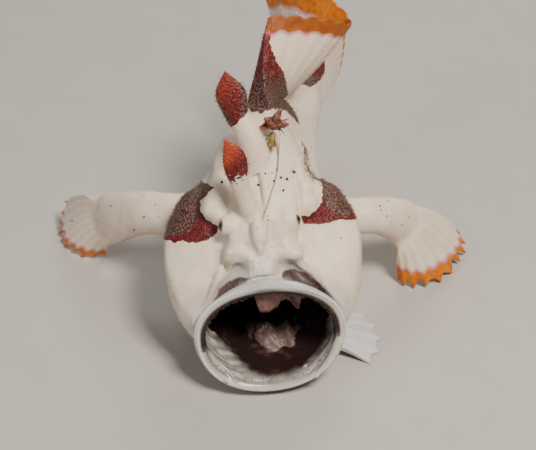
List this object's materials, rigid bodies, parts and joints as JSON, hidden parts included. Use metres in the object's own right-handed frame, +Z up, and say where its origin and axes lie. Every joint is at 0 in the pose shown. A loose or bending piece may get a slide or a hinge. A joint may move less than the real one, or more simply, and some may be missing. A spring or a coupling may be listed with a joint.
{
  "type": "frogfish model",
  "caption": "Still life-size model of a small clown frogfish with its mouth wide open and its arms spread, resting on its belly, fins and hands.",
  "frame": {"origin": "on the floor, on the small flat where the belly rests, midway between the roots of the arms", "axes": "+Z up from the floor the fish rests on; the face looks along -Y and the tail points along +Y; +X is the fish's own left side"},
  "size_m": [0.0563, 0.0608, 0.0359],
  "materials": {
    "skin_white": "soft scaleless skin, white with a faint warm tint, finely granular",
    "skin_red": "granular maroon-red skin",
    "fin_orange": "fin skin, white at the root with an orange margin",
    "lip_grey": "thin moist skin of the lips, bluish white to grey",
    "eye_dark": "glossy dark eye with an ochre ring",
    "mouth_flesh": "moist flesh inside the mouth",
    "lure_pink": "soft translucent pinkish brown skin of the lure"
  },
  "bodies": {
    "root": {"upper_jaw": "lip_grey", "lower_jaw": "lip_grey", "head": "skin_white", "torso": "skin_white", "tail_stem": "skin_white", "tongue": "mouth_flesh", "eye_left": "eye_dark", "eye_right": "eye_dark", "illicium": "skin_white", "lure": "lure_pink", "second_spine": "skin_red", "third_spine": "skin_red", "dorsal_fin": "fin_orange", "anal_fin": "fin_orange", "tail_fin": "fin_orange", "arm_left": "skin_white", "arm_right": "skin_white", "hand_left": "fin_orange", "hand_right": "fin_orange", "foot_left": "skin_white", "foot_right": "skin_white"}
  },
  "joints": []
}
